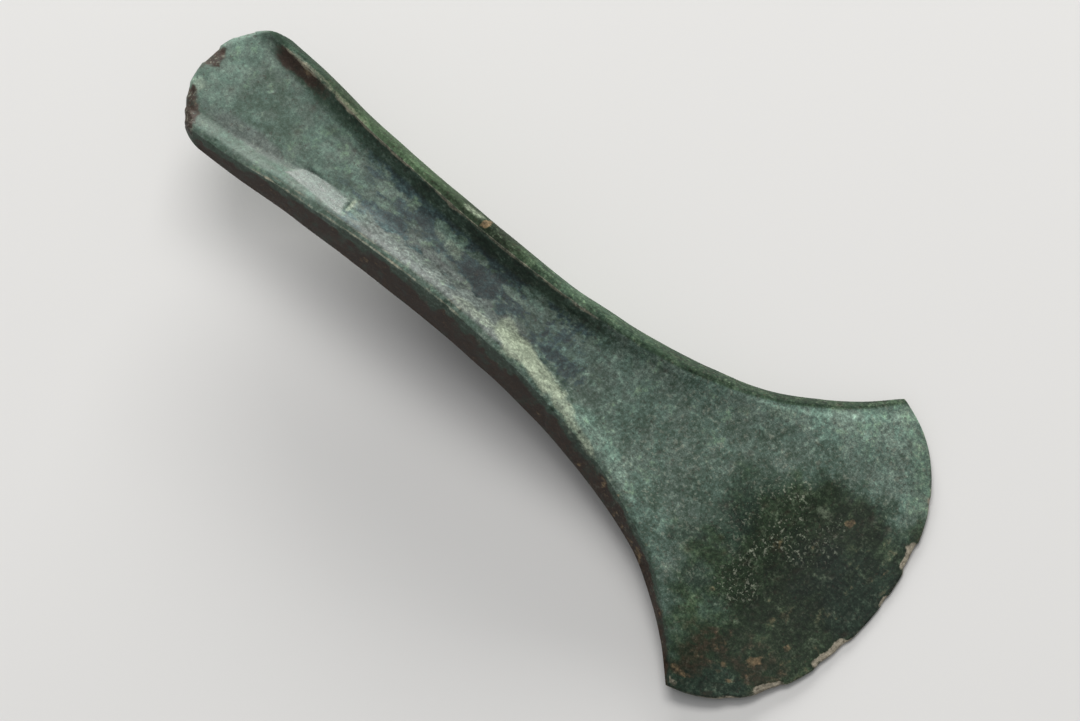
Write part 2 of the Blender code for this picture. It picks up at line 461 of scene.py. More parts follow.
def casting_skin(form_settings):
    """Both faces of the casting as fields of shape (face, row, column), in millimetres, and
    as points. The faces mirror each other through the middle plane."""
    along = row_shares()
    table = np.array(SECTIONS)
    corner_station = lengthwise(along, np.array(1))
    form = [monotone_curve(table[:, 0], sizes, corner_station) for sizes in table.T[1:]]
    lower = half_columns(form, -1, LOWER_CURVE, form_settings.lower_rounding)
    upper = half_columns(form, 1, UPPER_CURVE, form_settings.upper_rounding)
    offset, climb, fall, profile = (np.concatenate(pair, axis=1) for pair in zip(lower, upper))
    along = along[:, None] + 0 * offset
    half_width, bevel, land, crest, _ = (size[:, None] for size in form)
    share = offset / half_width
    station = lengthwise(along, share)
    from_edge = LENGTH * (1 - along)
    from_butt = LENGTH * along
    edge_depth, edge_slope = bites(offset, EDGE_CHIPS, 11)
    butt_depth, butt_slope = bites(offset, BUTT_CHIPS, 23)
    edge_pull = edge_depth * ease(CHIP_REACH, 0, from_edge)
    station = station - edge_pull + butt_depth * ease(CHIP_REACH, 0, from_butt)

    stations, thickness = zip(*WEB)
    distances, thinning = zip(*BLADE_TAPER)
    web = monotone_curve(stations, thickness, station)
    web *= monotone_curve(distances, thinning, from_edge + edge_pull)
    inner = web + (crest - web) * climb
    height = np.where(profile > 3, crest * fall, inner)
    past_arris = np.abs(offset) - half_width + bevel

    # The outline wanders: a slow sideways shift that grows towards the border.
    waver = form_settings.outline_waver / MM
    side = np.sign(offset)
    shift = plane_noise(station, side * 40, 21, 31, 3, 0.55) * waver
    offset += shift * np.abs(share) ** 2 * np.sign(share)
    end_shift = plane_noise(offset, along * 90, 13, 37, 3, 0.5)
    station += end_shift * waver * (along**20 - (1 - along) ** 20)

    wave = plane_noise(station, np.sign(offset) * 9, 24, 41, 2)
    height *= 1 + 0.012 * wave * ease(1, 2.2, profile)
    height *= rounded_end(from_butt, BUTT_RADIUS) * rounded_end(from_edge, EDGE_RADIUS)

    one_face = {
        "station": station,
        "offset": offset,
        "profile": profile,
        "past_wall": past_arris + land,
        "past_arris": past_arris,
        "from_edge": from_edge,
        "from_butt": from_butt,
        "edge_slope": edge_slope,
        "butt_slope": butt_slope,
    }
    skin = SimpleNamespace(**{name: np.stack([one, one]) for name, one in one_face.items()})
    skin.face = np.ones_like(skin.station)
    skin.face[1] = -1
    top, flat = flat_spot(station, offset, height)
    skin.flat = np.stack([flat, flat * 0])
    skin.height = np.stack([top, height])
    points = np.stack([skin.station, skin.offset, skin.height * skin.face], axis=-1)
    return skin, points


def join_border(values):
    """The two faces take their mean on the border ring, so that they share it."""
    border = np.zeros(values.shape[1:3], bool)
    border[[0, -1]] = True
    border[:, [0, -1]] = True
    values[:, border] = values.mean(axis=0)[border]
    return values


def skin_normals(points):
    """Outward normals: the cross product of the grid's two directions, and on the border
    ring the mean of both faces' normals."""
    down_rows = np.gradient(points, axis=1)
    along_row = np.gradient(points, axis=2)
    normals = np.cross(down_rows, along_row)
    normals[1] *= -1
    normals /= np.linalg.norm(normals, axis=-1, keepdims=True) + 1e-9
    normals = join_border(normals)
    return normals / (np.linalg.norm(normals, axis=-1, keepdims=True) + 1e-9)


def spot(skin, station, offset, radius_along, radius_across, turn=0.0, ragged=0.0):
    """1 in the middle of an ellipse in plan and 0 outside it, falling as a smooth step of
    the distance in radii. `ragged`, a noise, is added to it and frays the border."""
    turn = math.radians(turn)
    x = skin.station - station
    y = skin.offset - offset
    p = (x * math.cos(turn) + y * math.sin(turn)) / radius_along
    q = (y * math.cos(turn) - x * math.sin(turn)) / radius_across
    return ease(1.15, 0.55, np.hypot(p, q) + ragged)


def patches(skin, places, ragged):
    """The strongest of several spots at each point. Every place is a station, an offset,
    two radii, a strength and, where it has one, a turn in degrees."""
    total = np.zeros_like(skin.station)
    for station, offset, along, across, strength, *turn in places:
        here = strength * spot(skin, station, offset, along, across, *turn, ragged=ragged)
        total = np.where(np.abs(here) > np.abs(total), here, total)
    return total


def relief(skin, points, settings):
    """Height of the worn surface above the smooth casting, in millimetres, how deep each
    point lies in a pit and how far it lies in a broken slope, both from 0 to 1."""
    hammered = layered_noise(points, 10, 101, 2, 0.45) * settings.hammering / MM
    grain = layered_noise(points, 2.2, 131, 2, 0.6)

    # Pits: round hollows at random places, crowded where the metal is most eaten.
    near, owner = cell_noise(points, 2.6, 151)
    small_near, small_owner = cell_noise(points, 1.5, 171)
    crowd = 0.1 + 0.35 * spot(skin, 170, 0, 14, 18) + 0.3 * ease(6, 1, skin.from_butt)
    crowd += 0.25 * ease(5, 1, skin.from_edge) + 0.2 * (skin.profile > 3)
    pit = (owner < crowd) * ease(0.1 + 0.42 * owner / crowd, 0.05, near)
    small = (small_owner < crowd + 0.15) * ease(0.42, 0.08, small_near)
    pits = np.maximum(pit, 0.6 * small)

    # Drawn-out ripples along the flanges' sides.
    ripples = layered_noise(points * (0.09, 1, 1), 1.3, 191, 3, 0.6)
    ripples = RIPPLE_HEIGHT * ripples * ease(2.6, 3.2, skin.profile)

    # Nicks in both arrises of each crest.
    arris = np.minimum(np.abs(skin.past_wall), np.abs(skin.past_arris))
    nicked = layered_noise(points * (1, 0.3, 0.3), 1.9, 211, 2, 0.6)
    nicks = NICK_DEPTH * ease(0.7, 0.1, arris) * ease(0.5, 0.95, nicked)

    total = hammered + GRAIN_HEIGHT * grain - pits * settings.pitting / MM + ripples - nicks
    for station, offset, along, across, rise, *turn in MARKS:
        mark = spot(skin, station, offset, along, across, *turn) * (skin.face > 0)
        total += rise * mark * (1 + 0.5 * grain)

    # Broken ends: a rough slope that drops towards the border ring.
    rough = layered_noise(points, 1.1, 231, 3, 0.65)
    broken = np.maximum(
        ease(1, 0.5, skin.from_edge / np.maximum(skin.edge_slope, 0.01)),
        ease(1, 0.5, skin.from_butt / np.maximum(skin.butt_slope, 0.01)),
    )
    total *= ease(0, 1.1, skin.height + 0.25)
    total -= BROKEN_DROP * skin.height * broken
    total += BROKEN_ROUGHNESS * rough * broken * ease(0, 0.5, skin.height)
    return total, pits, broken


# Paler and darker clouds of the upper face: station, offset, two radii, how many stops
# lighter or darker and, where it has one, a turn in degrees.
# Paler clouds on the trough's upper half, beside the upper flange, are partly real mottles and
# partly painted light that lifts the flange's shadow there.
CLOUDS = (
    (4.5, 9, 5.5, 5, 0.3, 60), (11.5, 10.5, 4.5, 2.8, 0.5, -20),
    (177, 12, 2.3, 1.9, 0.8), (175, -35, 1.6, 1.4, 0.6),
    (20.5, 8.2, 6, 1.3, 0.35, -5), (18.5, 3, 7, 4.6, -0.34),
    (26.5, 0, 5, 5, -0.3), (19, -3.6, 1.5, 0.7, 0.6),
    (17, 3.6, 1.3, 0.9, 0.45, 40), (13, -2, 5, 4, -0.1),
    (8, -1, 5, 7, 0.6), (14.6, 6.6, 2.4, 2.2, -0.75),
    (22.2, 7.4, 2.4, 1.2, 0.5), (21.5, 4.6, 3.2, 1.4, -0.3),
    (22.5, -6, 4, 1.6, 0.45), (34.5, 5.8, 3.2, 2.2, -0.55),
    (38.5, 1.8, 5, 2.2, 0.6), (46, 1.8, 5.5, 2.6, 0.55),
    (52.5, 2.7, 4, 2, 0.85, -6), (35, -2, 6.5, 3, 0.2),
    (50.5, -1, 5, 2.6, 0.28), (59.5, -1.8, 3.8, 3.6, -0.65),
    (64.2, 3.7, 3.4, 2, -1.1, -10), (66, -3.2, 4, 1.6, -0.4),
    (58.5, 4.8, 2.2, 1.4, -0.5), (70.5, 2.2, 2.8, 1.8, 0.55, -15),
    (73.8, 1.6, 2.8, 1.6, 0.45), (78.5, 3.4, 3.4, 1.8, -0.6),
    (83.5, 0.8, 5.8, 3.2, -0.95), (92, 1.5, 4.5, 1.8, -0.35),
    (2.6, -5.4, 2.2, 1.8, 0.85, 30), (84.5, -4.3, 4.5, 1.5, 0.65),
    (90.5, 2.9, 2.8, 1.3, 0.7), (91, -2.2, 2.6, 1.6, -0.6),
    (96, 4.6, 3.4, 1.5, 0.55, 5), (36.2, -5.4, 2.6, 1.2, 0.5),
    (46, -3.1, 1.6, 1.2, 0.7), (54, 0, 2.4, 2.2, 0.45),
    (98, 1.6, 4, 1.6, 0.1), (109, -2.2, 6.5, 1.8, -0.6),
    (110.5, 1.1, 5, 1.1, 0.45), (105.5, 3.4, 3, 2.2, -0.4),
    (118, 7, 5, 2.4, 0.16, 10), (131, 13.6, 3, 1.3, 0.5, 14),
    (120, -4, 6, 3, 0.12), (152, -13, 1.9, 0.9, -0.8, -30),
    (147, 8, 7, 5, -0.12, 20), (156.5, 15.5, 3, 3, -0.45),
    (163, -2, 8, 4, -0.5), (151, -5, 6, 4, -0.35),
    (157, -14, 4.5, 3.5, -0.7), (162.5, -20, 3.5, 2.5, -0.55),
    (142, -13.5, 5, 2.6, -0.5), (171, 21.5, 5, 2.6, -0.45),
    (187, 20.5, 3, 3, -0.6), (154, 21, 7, 3.4, 0.35, 25),
    (166, 28, 8, 5, 0.5, 30), (175, 33, 9, 7, 0.42, 30),
    (186, 25, 7, 6, 0.36), (177, 10.6, 2.4, 1.5, 0.55),
    (193.5, 12, 3, 4, 0.45), (168.5, -26.8, 3.6, 4.2, 0.6, 20),
    (192.6, -0.5, 1.2, 4.2, 0.6), (191.4, -8.2, 1.4, 3.2, 0.55),
    (194.7, 10.8, 1.6, 3.4, 0.8), (185, -20, 2, 1.8, 0.2),
    (174.5, -24, 1.8, 1.8, 0.35), (173, -8, 1.6, 1.9, 0.6),
)

# The yellowish film by the waist, and its smaller traces, in the same way but with the
# film's strength. Ochre spots, breaks and clusters are told in this way too.
FILM = (
    (95.5, -4.4, 4.6, 2.2, 0.7, -22), (100.5, -6.9, 7.5, 3.1, 0.95, -8),
    (108.5, -8.2, 7.5, 2.9, 0.95, -12), (116.5, -10.4, 8, 1.9, 0.75, -20),
    (124, -12.6, 8, 1, 0.5, -20), (88, -7.2, 7, 1.7, 0.4),
    (2.6, -5.2, 2.4, 1.9, 0.35, 30), (73.5, 2, 3.2, 1.8, 0.4),
    (69.5, 2.6, 2.2, 1, 0.3, -10), (177, 10.6, 2.2, 1.5, 0.22),
    (194.7, 10.8, 1.2, 3, 0.16), (49.4, -5.2, 0.7, 2.4, 0.6, 8),
    (73, 11, 3.5, 1.6, 0.5), (155, 21.5, 4, 1.8, 0.25, 25),
)

# Old scratches on the upper face: station, offset, length, turn in degrees.
SCRATCHES = (
    (101, 1.6, 4.2, 28), (103.4, 2.6, 2.6, -14),
    (96, 4.4, 3, 22), (93.5, 5.2, 3.4, 12),
    (68.6, 5.4, 3.2, -18), (72, 4.4, 3.6, 30),
    (161.5, 24, 6.5, 66), (163.2, 24.6, 6, 70),
    (165.6, 22.8, 5, 60), (164, 20, 4.2, 74),
    (168.5, 21, 4, 52), (44.5, 4.6, 3, 8),
    (51.5, 3.2, 3.4, -12), (115, -1.5, 3, 36),
    (17.5, 4, 2.2, 50),
)

# Ochre and orange spots.
OCHRE = (
    (76.6, 11.2, 1.9, 1.5, 0.9, 60), (183.3, 12.2, 1.2, 0.9, 0.8),
    (196.4, 9, 0.9, 2.2, 0.6), (180, 2.5, 0.9, 1.8, 0.45),
    (173.5, -2.5, 1, 1.6, 0.5), (187, -25.5, 1.1, 1.5, 0.85),
    (181, -31.5, 1.2, 1.3, 0.8, 20), (176, -38, 1, 0.9, 0.8),
    (184.5, -33, 0.9, 0.8, 0.7), (178, -27, 1, 1, 0.55),
    (183, -17, 1, 1.6, 0.5), (190, -19, 0.9, 1.3, 0.55),
    (168.5, -19.5, 1, 0.8, 0.4), (174, -34, 0.8, 1, 0.6),
    (21, 12.6, 1.5, 0.6, 0.55), (33, -9.9, 3, 0.6, 0.15),
    (192.6, -0.5, 1.1, 3.8, 0.4), (191.4, -8.2, 1.2, 3, 0.36),
    (194.7, 10.8, 1.4, 3.2, 0.42), (184.8, -13, 1.8, 2.8, 0.36, 20),
    (186, -27.5, 1.2, 1.4, 0.75),
)

# The rough breaks of the butt.
BUTT_BREAKS = (
    (1.2, 2.2, 2.9, 2.9, 0.9),
    (5.3, -10.8, 2.1, 5.4, 0.9, 38),
)

# Clusters of pale flecks on the blade.
CLUSTERS = (
    (168, 9, 6, 4, 1, 20),
    (173, -2, 5, 9, 1, -10),
    (172, -14, 5.5, 5, 0.9),
    (163, 0, 6, 14, 0.55),
    (181, 5, 4, 8, 0.5),
)

# Traces of the film on the under face.
UNDER_FILM = (
    (126, 6, 9, 5, 0.4, 20),
    (24, -4, 7, 4, 0.4),
)

SCRATCH_HALF_WIDTH = 0.34
SCRATCH_TONE = 0.55

# The tone of the upper flange's side in stops: its value at the butt, then each change
# with the two stations between which it takes place.
BAND_TONE = -1.45
BAND_CHANGES = (
    (28, 42, 0.65),
    (58, 74, -0.65),
    (60, 72, -0.35),
    (74.5, 79.5, -0.7),
    (79.5, 84.5, 0.7),
    (83, 88, 0.7),
    (92, 101, 0.5),
    (101, 110, -0.5),
    (122, 134, -0.5),
    (143, 152, -0.3),
)


def shared_zones(skin, points):
    """The skin with the fields that several masks go by: noises, coarse to fine, and
    zones of the casting from 0 to 1."""
    at = SimpleNamespace(**vars(skin), points=points)
    at.broad = layered_noise(points, 22, 301, 4, 0.55)
    at.mid = layered_noise(points, 7, 321, 4, 0.55)
    at.fine = layered_noise(points, 2.4, 341, 3, 0.6)
    at.streaks = layered_noise(points * (0.35, 1, 1), 1.7, 361, 3, 0.6)
    at.warp = 0.9 * at.mid + 0.5 * at.fine

    # The two faces, and the halves towards the upper and the lower flange.
    at.upper = (skin.face > 0) * 1.0
    at.under = 1 - at.upper
    at.high = (skin.offset > 0) * 1.0
    at.low = 1 - at.high
    at.high_upper = at.high * at.upper
    at.low_upper = at.low * at.upper

    # Across: inside the flange's wall, outside it, and its outer bevel.
    at.inner = ease(0.4, -0.6, skin.past_wall)
    at.outer = ease(-0.25, 0.25, skin.past_wall)
    at.bevel = ease(-0.3, 0.5, skin.past_arris)
    at.band = at.outer * at.high

    # Along: the trough, and a painted highlight strip on the lower flange's inner slope, which
    # faces the light.
    at.trough = ease(34, 52, skin.station)
    at.trough *= ease(128, 106, skin.station + 4 * at.mid)
    # Painted highlight: a paler strip where the lower flange's inner slope faces the light.
    at.pale_strip = ease(-9, -5.5, skin.past_wall) * at.low_upper
    at.pale_strip *= stretch(skin.station, 48, 58, 94, 106)

    # The dark zone of the blade, with how many stops darker it is, and its lower corner.
    slant = skin.offset - 0.5 * (skin.station - 172) + 2 * at.mid
    low_limit = ease(-19, -25, slant)
    start = 160 + 9 * low_limit + 9 * ease(5, 13, skin.offset)
    ragged_start = skin.station - start + 7 * at.mid + 4 * at.fine
    top = 16.5 + 0.1 * (skin.station - 170) + 3.5 * at.mid + 2.6 * at.fine
    at.dark = ease(-9, 8, ragged_start)
    at.dark *= ease(5, -4.6, skin.offset - top) * at.upper
    at.depth = 1.35 + ease(162, 178, skin.station + 3 * at.mid)
    at.depth -= 0.3 * ease(12, 3, skin.from_edge + 2 * at.mid)
    at.depth -= 0.15 * low_limit
    at.corner = ease(-16, -26, skin.offset) * ease(160, 174, skin.station)
    at.corner *= at.upper * at.dark

    at.butt_rough = patches(skin, BUTT_BREAKS, 0.7 * at.warp)
    at.specks = ease(0.45, 0.95, at.fine + 0.35 * at.mid)
    green = ease(7.5, 3, skin.from_edge + 1.4 * at.mid)
    at.green_edge = green * ease(10, 24, skin.offset) * at.upper
    return at


def weathered_tone(at):
    """How many stops lighter or darker than the plain patina each point is, before the
    flanges are drawn in: clouds, scratches, the dark zone and a crust of thin flakes."""
    tone = 0.1 * at.broad - 0.08 + patches(at, CLOUDS, 0.45 * at.warp) * at.upper
    for station, offset, length, turn in SCRATCHES:
        size = (length / 2, SCRATCH_HALF_WIDTH)
        scratch = spot(at, station, offset, *size, turn, 0.6 * at.fine)
        tone += SCRATCH_TONE * scratch * at.upper
    tone += 0.22 * ease(12, 4, at.station) - at.depth * at.dark
    tone += 0.24 * at.mid * (1 - 0.5 * at.dark) + 0.24 * at.fine

    # Flakes are drawn out along the waist.
    drawn_out = at.points.copy()
    drawn_out[..., 0] *= 1 - 0.6 * stretch(at.station, 25, 50, 100, 130)
    flakes = layered_noise(drawn_out, 2, 381, 4, 0.7)
    crust = ease(0.05, 0.32, flakes) - 0.8 * ease(-0.22, -0.5, flakes)
    crust *= (0.24 + 0.42 * at.trough) * (1 - 0.75 * at.pale_strip)
    crust *= (1 - 0.5 * at.dark) * (1 - 0.5 * ease(16, 8, at.station))
    shade = 0.15 * spot(at, 150, 0, 14, 18, 0, 0.4 * at.warp) * at.upper
    return tone + crust - shade


def flange_tone(at, tone):
    """The tone in stops with the flanges drawn in, one form after another."""
    station = at.station
    past_wall = at.past_wall

    # Painted shade on the upper flange's inner wall, which faces away from the light, a slightly
    # darker trough away from that flange, and the flange's own side.
    reach = 2.6 - 0.9 * ease(85, 100, station)
    beside = ease(-1, 0.3, (past_wall + reach) / 1.3) * ease(0.4, -0.4, past_wall)
    tone -= 0.9 * at.high_upper * beside * stretch(station, 8, 14, 98, 120)
    tone -= 0.18 * at.inner * at.trough * ease(6, 0, at.offset) * at.upper
    band_tone = BAND_TONE + 0.45 * at.streaks
    for start, end, change in BAND_CHANGES:
        band_tone += change * ease(start, end, station)
    tone = tone * (1 - 0.6 * at.band) + at.band * band_tone

    # The lower flange's crest a little darker, and its side darker as painted shade, for it faces
    # away from the light; then a painted highlight on the strip and further towards the blade, on
    # the inner slope that faces the light.
    tone -= 0.2 * at.outer * (1 - at.bevel) * at.low_upper
    tone -= 0.9 * at.bevel * at.low
    tone += 0.32 * at.pale_strip * at.inner
    # Painted highlight along the lower flange's inner slope towards the blade.
    neck_sheen = ease(-5.5, -2, past_wall) * at.low_upper * at.inner
    tone += 0.75 * neck_sheen * stretch(station, 104, 116, 130, 152)

    # Painted shade along a strip of the trough under the upper flange's wall, the blade's lower
    # corner, and the hammered flat, painted paler: partly polished metal, partly a painted
    # highlight.
    flange_shade_strip = stretch(past_wall, -5.4, -3.2, -1.6, -0.6) * at.high_upper
    tone -= 0.52 * flange_shade_strip * stretch(station, 42, 62, 108, 124)
    tone += 0.36 * at.corner
    tone = tone * (1 - 0.8 * at.flat) + 0.27 * at.flat

    # Two painted shade lines on the upper flange's inner wall, just under its crest.
    wall_shade_line = stripe(past_wall + 1.6 + 0.2 * at.streaks, 0.7, 0.1) * at.high_upper
    tone -= 0.35 * wall_shade_line * spot(at, 116, 9, 22, 9, 12)
    crest_shade_line = stripe(past_wall + 0.75, 0.5, 0.1) * at.high_upper
    return tone - 0.6 * crest_shade_line * stretch(station, 30, 45, 98, 112)


def worn_lines(at):
    """Thin worn lines along the crests, from 0 to 1, and how many stops paler the upper flange's
    crest is for them; along the blade that paler crest is partly painted light on the flange's
    inner shoulder, which faces away from the light."""
    station = at.station

    def line(distance, wander, half, core):
        return stripe(distance + wander * at.streaks, half, core)

    waist = line(at.past_arris + 0.35, 0.15, 0.7, 0.25) * stretch(station, 100, 107, 118, 128)
    near = line(at.past_arris + 0.62, 0.15, 0.65, 0.25) * stretch(station, 12, 17, 36, 48)
    # Along the blade this pale line is partly a worn line and partly painted light on the upper
    # flange's inner shoulder.
    blade = line(at.past_arris + 0.6, 0.1, 0.8, 0.3) * ease(130, 148, station)
    gain = (0.75 * waist + 1.1 * near + blade) * at.high_upper

    high_line = line(at.past_wall + 0.12, 0.2, 0.42, 0.1) * stretch(station, 9, 16, 100, 122)
    low_line = line(at.past_arris + 0.25, 0.1, 0.42, 0.1)
    low_line = np.maximum(low_line, 0.7 * stripe(at.past_wall + 0.1, 0.35, 0.1))
    low_line *= at.low * stretch(station, 14, 30, 125, 150)
    low_line *= 0.3 + 0.7 * ease(98, 80, station)
    worn = strongest(
        np.maximum(high_line * at.high, 0.85 * low_line) * (0.72 + 0.5 * at.streaks),
        0.3 * ease(0.8, 0.2, at.from_edge),
        0.52 * near * at.high_upper,
    )
    return worn, gain


def earth_and_side_shade_mask(at):
    """Bare brown metal: in the hollow by the butt, on the lower flange's side (where its darkness
    is also painted shade, for that side faces away from the light), in patches on the hidden side,
    in the butt's breaks and on the blade's lower corner."""
    past_wall = at.past_wall + 0.9 * at.mid
    hollow = ease(-3.6, -1.8, past_wall) * ease(0.1, -0.4, at.past_wall)
    hollow *= ease(9, 14, at.station)
    hollow *= ease(36, 20, at.station + 3 * at.mid)
    bare = ease(3.12, 3.4, at.profile + 0.22 * at.mid + 0.12 * at.fine)
    bare *= (0.8 + 0.3 * at.fine) * ease(8, 14, at.station)
    hidden = at.bevel * at.high * at.under
    rusty = ease(0.35, 0.9, at.mid + 0.5 * at.fine) * at.dark
    return strongest(
        0.85 * hollow * at.high_upper,
        # The lower flange's side: bare brown metal, and painted shade on a side that faces away
        # from the light.
        at.bevel * at.low * bare,
        0.5 * hidden * ease(0.1, 1, at.broad + 0.6 * at.mid),
        0.85 * at.butt_rough,
        0.54 * at.lower_corner,
        0.3 * rusty * ease(172, 182, at.station),
    )


def olive_mask(at):
    """Olive green: on the upper flange's side, over the dark zone, in small flecks, along
    the edge and in clouds on the under face."""
    side = at.band * ease(8, 40, at.station)
    return strongest(
        side * (1 - 0.5 * ease(80, 95, at.station)),
        0.8 * at.dark * ease(-0.7, 0.3, at.broad + 0.5 * at.mid),
        0.35 * ease(0.25, 0.7, at.fine + 0.5 * at.mid) * at.upper,
        0.34 * at.green_edge,
        0.4 * ease(-0.2, 0.6, at.broad) * at.under,
    )


def ochre_mask(at):
    """Ochre: the listed spots, and specks where the metal is bare, dark, broken or mossy."""
    low_side = 0.5 + 0.3 * ease(110, 135, at.station)
    low_arris = stripe(at.past_arris, 0.9, 0.2) * at.low_upper
    return strongest(
        patches(at, OCHRE, 0.72 * at.fine + 0.3 * at.mid) * at.upper,
        low_side * at.specks * at.bevel * at.low,
        0.8 * ease(0.1, 0.7, at.fine + 0.2 * at.mid) * at.butt_rough,
        (0.22 + 0.34 * at.specks) * at.lower_corner,
        0.5 * at.specks * at.dark * ease(12, 4, at.from_edge),
        0.42 * at.moss,
        0.7 * at.specks * low_arris * ease(128, 142, at.station),
    )


def fleck_mask(at):
    """How crowded the pale flecks are."""
    fleck = 0.1 + 0.3 * ease(118, 140, at.station) * (1 - at.dark)
    clusters = patches(at, CLUSTERS, 0.5 * at.warp)
    fleck = np.maximum(fleck, 0.85 * clusters * at.upper) * (1 - 0.5 * at.outer)
    fleck = np.maximum(fleck, 0.9 * at.butt_rough)
    return fleck * ease(-6, 24, at.station) + 0.4 * at.butt_rough


def masks(skin, points, pits, broken):
    """Where each layer of the patina lies, from 0 to 1, and the tone: how many stops
    lighter or darker than the plain patina each point is."""
    at = shared_zones(skin, points)
    at.lower_corner = at.corner * ease(-0.5, 0.4, at.mid + 0.5 * at.fine)
    moss = layered_noise(points * (1, 0.5, 1), 3.4, 401, 4, 0.7)
    at.moss = ease(0.15, 0.65, moss) * at.dark * ease(174, 182, at.station)
    tone = flange_tone(at, weathered_tone(at))

    # Grey: over the painted highlight strip on the lower flange's inner slope, on the hammered
    # flat (partly a painted highlight), and in two grey spots.
    greyness = strongest(
        0.8 * at.pale_strip * at.inner,
        0.55 * at.flat,
        0.6 * spot(at, 20, -7.5, 13, 2.2, 3, 0.3 * at.warp) * at.upper,
        0.45 * spot(at, 70, -1.5, 8, 3, 0, 0.4 * at.warp) * at.upper,
    )

    # Slate gathers where the trough is dark, and the film lies over it.
    slate = ease(-0.15, 0.55, 0.35 * at.mid - tone)
    slate *= at.trough * at.inner * at.upper
    tone -= 0.3 * slate * stretch(at.station, 74, 86, 94, 108)
    blue = 0.35 * spot(at, 107, 1, 9, 4, 0, 0.5 * at.warp) * at.upper
    blue = np.maximum(0.85 * slate, blue)
    blue *= 1 - at.high * ease(-3.2, -1.6, at.past_wall)
    film = patches(at, FILM, 0.35 * at.warp) * at.upper
    film += patches(at, UNDER_FILM, 0.8 * at.warp) * at.under

    # The chips' broken slopes, and a small break at the blade's lower corner.
    chalk = broken * ease(-0.4, 0.4, at.fine + 0.7 * broken)
    chalk *= np.where(at.from_butt < 20, 0.2, 0.9 + 0.3 * at.mid)
    chalk = np.maximum(chalk, 0.6 * spot(at, 175.6, -41.3, 1.8, 0.9, 0, 0.6 * at.fine))

    # What is paler over all of this: moss, worn crests, and painted light along the blade's upper
    # border.
    worn, gain = worn_lines(at)
    upper_border_light = ease(-6.5, -2.5, at.past_arris + at.mid) * at.high_upper
    upper_border_light *= ease(-0.2, -0.9, at.past_arris) * ease(148, 160, at.station)
    tone = tone - 0.12 * film + 0.95 * at.moss + gain + 0.24 * upper_border_light + 0.4 * at.green_edge

    polish = strongest(
        0.7 * at.dark * ease(172, 184, at.station),
        0.6 * at.trough * at.inner * at.upper,
        at.flat,
    )
    fields = {
        "patina_tone": tone,
        "greyness": greyness,
        "blue_patches": blue * (1 - at.flat),
        "yellow_film": film,
        "bare_earth": earth_and_side_shade_mask(at) * (1 - at.flat),
        "olive_cast": olive_mask(at),
        "ochre_spots": ochre_mask(at),
        "chalky_break": chalk,
        "worn_rim": worn,
        "flecking": fleck_mask(at),
        "polish": polish - at.band - 0.9 * at.dark,
        "pitted": pits,
        "roughcast": 0.68 + 0.32 * ease(30, 60, at.station),
    }
    return {name: join_border(np.array(field, float)) for name, field in fields.items()}


def lying_matrix():
    """The casting's place in the frame. Its two haft seats face each other through the
    middle plane at one station: their midpoint lies on that plane, and the mean of
    their tilts is the head's tilt."""
    seats = {mount["name"]: mount for mount in frame["record"]["mounts"]}
    upper = seats["haft_seat_upper"]
    under = seats["haft_seat_under"]
    upper_tilt = math.atan2(upper["axis"][0], upper["axis"][2])
    under_tilt = math.atan2(-under["axis"][0], -under["axis"][2])
    turn = Matrix.Rotation((upper_tilt + under_tilt) / 2, 4, "Y")
    middle = (Vector(upper["pos_m"]) + Vector(under["pos_m"])) / 2
    return Matrix.Translation(middle - turn.to_3x3() @ Vector((SEAT_STATION * MM, 0, 0))) @ turn


def flat_values(values):
    """The values of both faces in the mesh's point order: the whole upper grid, then the
    under grid without its border, which it shares."""
    tail = values.shape[3:]
    return np.concatenate(
        [values[0].reshape(-1, *tail), values[1][1:-1, 1:-1].reshape(-1, *tail)]
    )


def skin_quads(rows, columns):
    """The quads of both grids; the under grid's border uses the upper grid's points."""
    upper = np.arange(rows * columns).reshape(rows, columns)
    under = upper.copy()
    inner = (rows - 2) * (columns - 2)
    under[1:-1, 1:-1] = rows * columns + np.arange(inner).reshape(rows - 2, columns - 2)
    quads = []
    for grid, order in ((upper, (0, 1, 2, 3)), (under, (3, 2, 1, 0))):
        corners = (grid[:-1, :-1], grid[1:, :-1], grid[1:, 1:], grid[:-1, 1:])
        quads.append(np.stack([corners[i].ravel() for i in order], axis=1))
    return np.concatenate(quads)


def fresh_object(name, mesh):
    """Puts the mesh in the scene under that name, in place of an older one."""
    old = bpy.data.objects.get(name)
    if old is not None:
        bpy.data.objects.remove(old, do_unlink=True)
    thing = bpy.data.objects.new(name, mesh)
    bpy.context.scene.collection.objects.link(thing)
    return thing


# ---- Materials


# The noises of the patina: scale per metre, detail, roughness, distortion.
CLOUD_NOISE = (90.0, 4.0, 0.62, 0.2)
MOTTLE_NOISE = (340.0, 4.0, 0.68, 0.1)
GRAIN_NOISE = (1150.0, 3.0, 0.7)
DUST_NOISE = (3400.0, 2.0, 0.6)
HUE_NOISE = (150.0, 3.0, 0.65, 0.2)
COARSE_CRUMBS = (850.0, 3.0, 0.65, 0.4)
SMALL_CRUMBS = (1700.0, 2.0, 0.6, 0.3)
HOLE_NOISE = (1500.0, 1.0, 0.5, 0.4)

# Hues that take part in the tone, and crusts that cover it: mask, colour, how ragged the
# border is, and the values between which the layer comes in.
HUES = (
    ("blue_patches", "blue", 0.8, 0.2, 0.85),
    ("olive_cast", "olive", 0.9, 0.15, 0.9),
)
CRUSTS = (
    ("yellow_film", "film", 0.9, 0.0, 1.1),
    ("bare_earth", "earth", 0.8, 0.25, 0.8),
    ("ochre_spots", "ochre", 1.0, 0.3, 1.0),
    ("worn_rim", "rim", 0.9, 0.2, 0.95),
    ("chalky_break", "chalk", 0.8, 0.25, 0.8),
)
BUMP_DISTANCE = 0.00010


